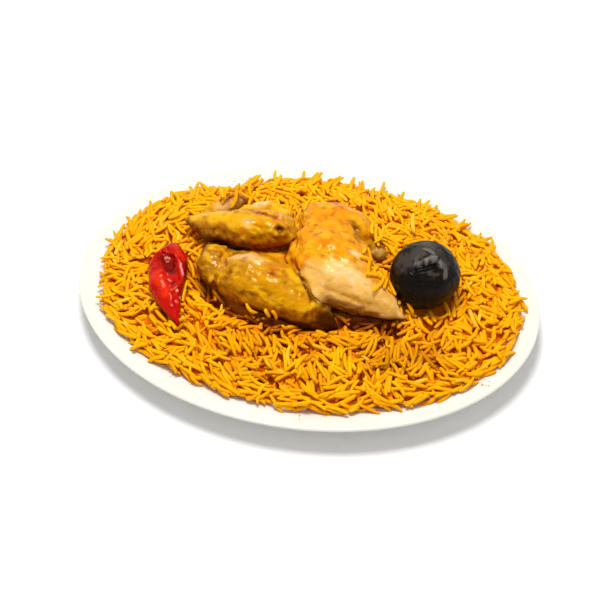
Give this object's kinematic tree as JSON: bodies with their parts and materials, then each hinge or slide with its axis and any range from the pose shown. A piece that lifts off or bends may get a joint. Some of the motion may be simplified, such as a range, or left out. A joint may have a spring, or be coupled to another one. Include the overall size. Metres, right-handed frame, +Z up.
{
  "type": "plate of chicken madghout",
  "caption": "Oval rimmed plate heaped with spiced long-grain rice, with half a cooked chicken, a dried black lime and a soft red chilli lying on top.",
  "frame": {"origin": "middle of the plate's foot, on the table", "axes": "+X along the plate's length, to the lime; -Y is the eater's side; +Z up"},
  "size_m": [0.31, 0.228, 0.0732],
  "materials": {
    "plate_glaze": "glossy warm white glaze",
    "rice": "soft, slightly oily cooked rice",
    "chicken_skin": "moist cooked skin",
    "lime_rind": "dark satin rind",
    "chilli_skin": "wet glossy skin"
  },
  "bodies": {
    "root": {"plate": "plate_glaze", "rice_heap": "rice", "half_chicken": "chicken_skin", "dried_lime": "lime_rind", "red_chilli": "chilli_skin"}
  },
  "joints": []
}
